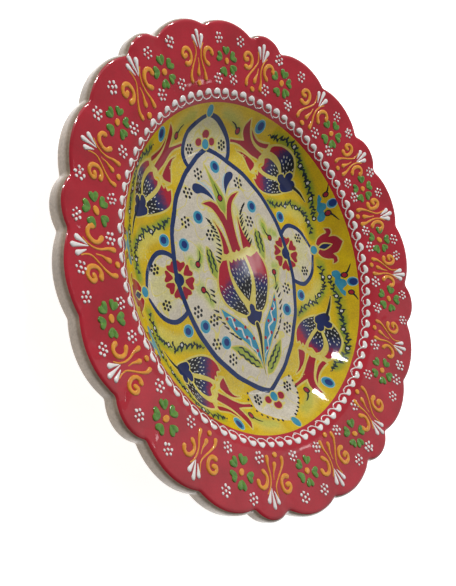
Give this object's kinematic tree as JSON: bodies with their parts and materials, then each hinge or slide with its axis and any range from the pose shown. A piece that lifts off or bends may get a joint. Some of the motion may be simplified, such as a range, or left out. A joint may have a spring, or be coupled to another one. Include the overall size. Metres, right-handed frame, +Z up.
{
  "type": "hand painted ceramic plate",
  "caption": "Round scalloped earthenware plate with a deep painted well, a sloping red rim with raised enamel flowers and scrolls, and a foot ring underneath.",
  "frame": {"origin": "on the plate's axis, in the plane that the foot ring stands on", "axes": "+Z up along the plate's axis, out of the well; +Y towards the upper tip of the painted medallion"},
  "size_m": [0.3022, 0.3021, 0.039],
  "materials": {
    "biscuit": "unglazed fired earthenware, matt",
    "well_painting": "underglaze painting on cream slip under glossy clear glaze",
    "red_rim_glaze": "glossy opaque red glaze",
    "cream_back_glaze": "glossy beige glaze",
    "green_enamel": "raised glossy green enamel",
    "orange_enamel": "raised glossy orange enamel",
    "white_enamel": "raised glossy white enamel"
  },
  "bodies": {
    "root": {"plate_body": "biscuit", "well_glaze": "well_painting", "rim_glaze": "red_rim_glaze", "back_glaze": "cream_back_glaze", "foot_well_glaze": "cream_back_glaze", "green_petals": "green_enamel", "orange_centres": "orange_enamel", "orange_scrolls": "orange_enamel", "orange_stems": "orange_enamel", "orange_dots": "orange_enamel", "white_drops": "white_enamel", "white_dots": "white_enamel", "white_wave_chain": "white_enamel"}
  },
  "joints": []
}
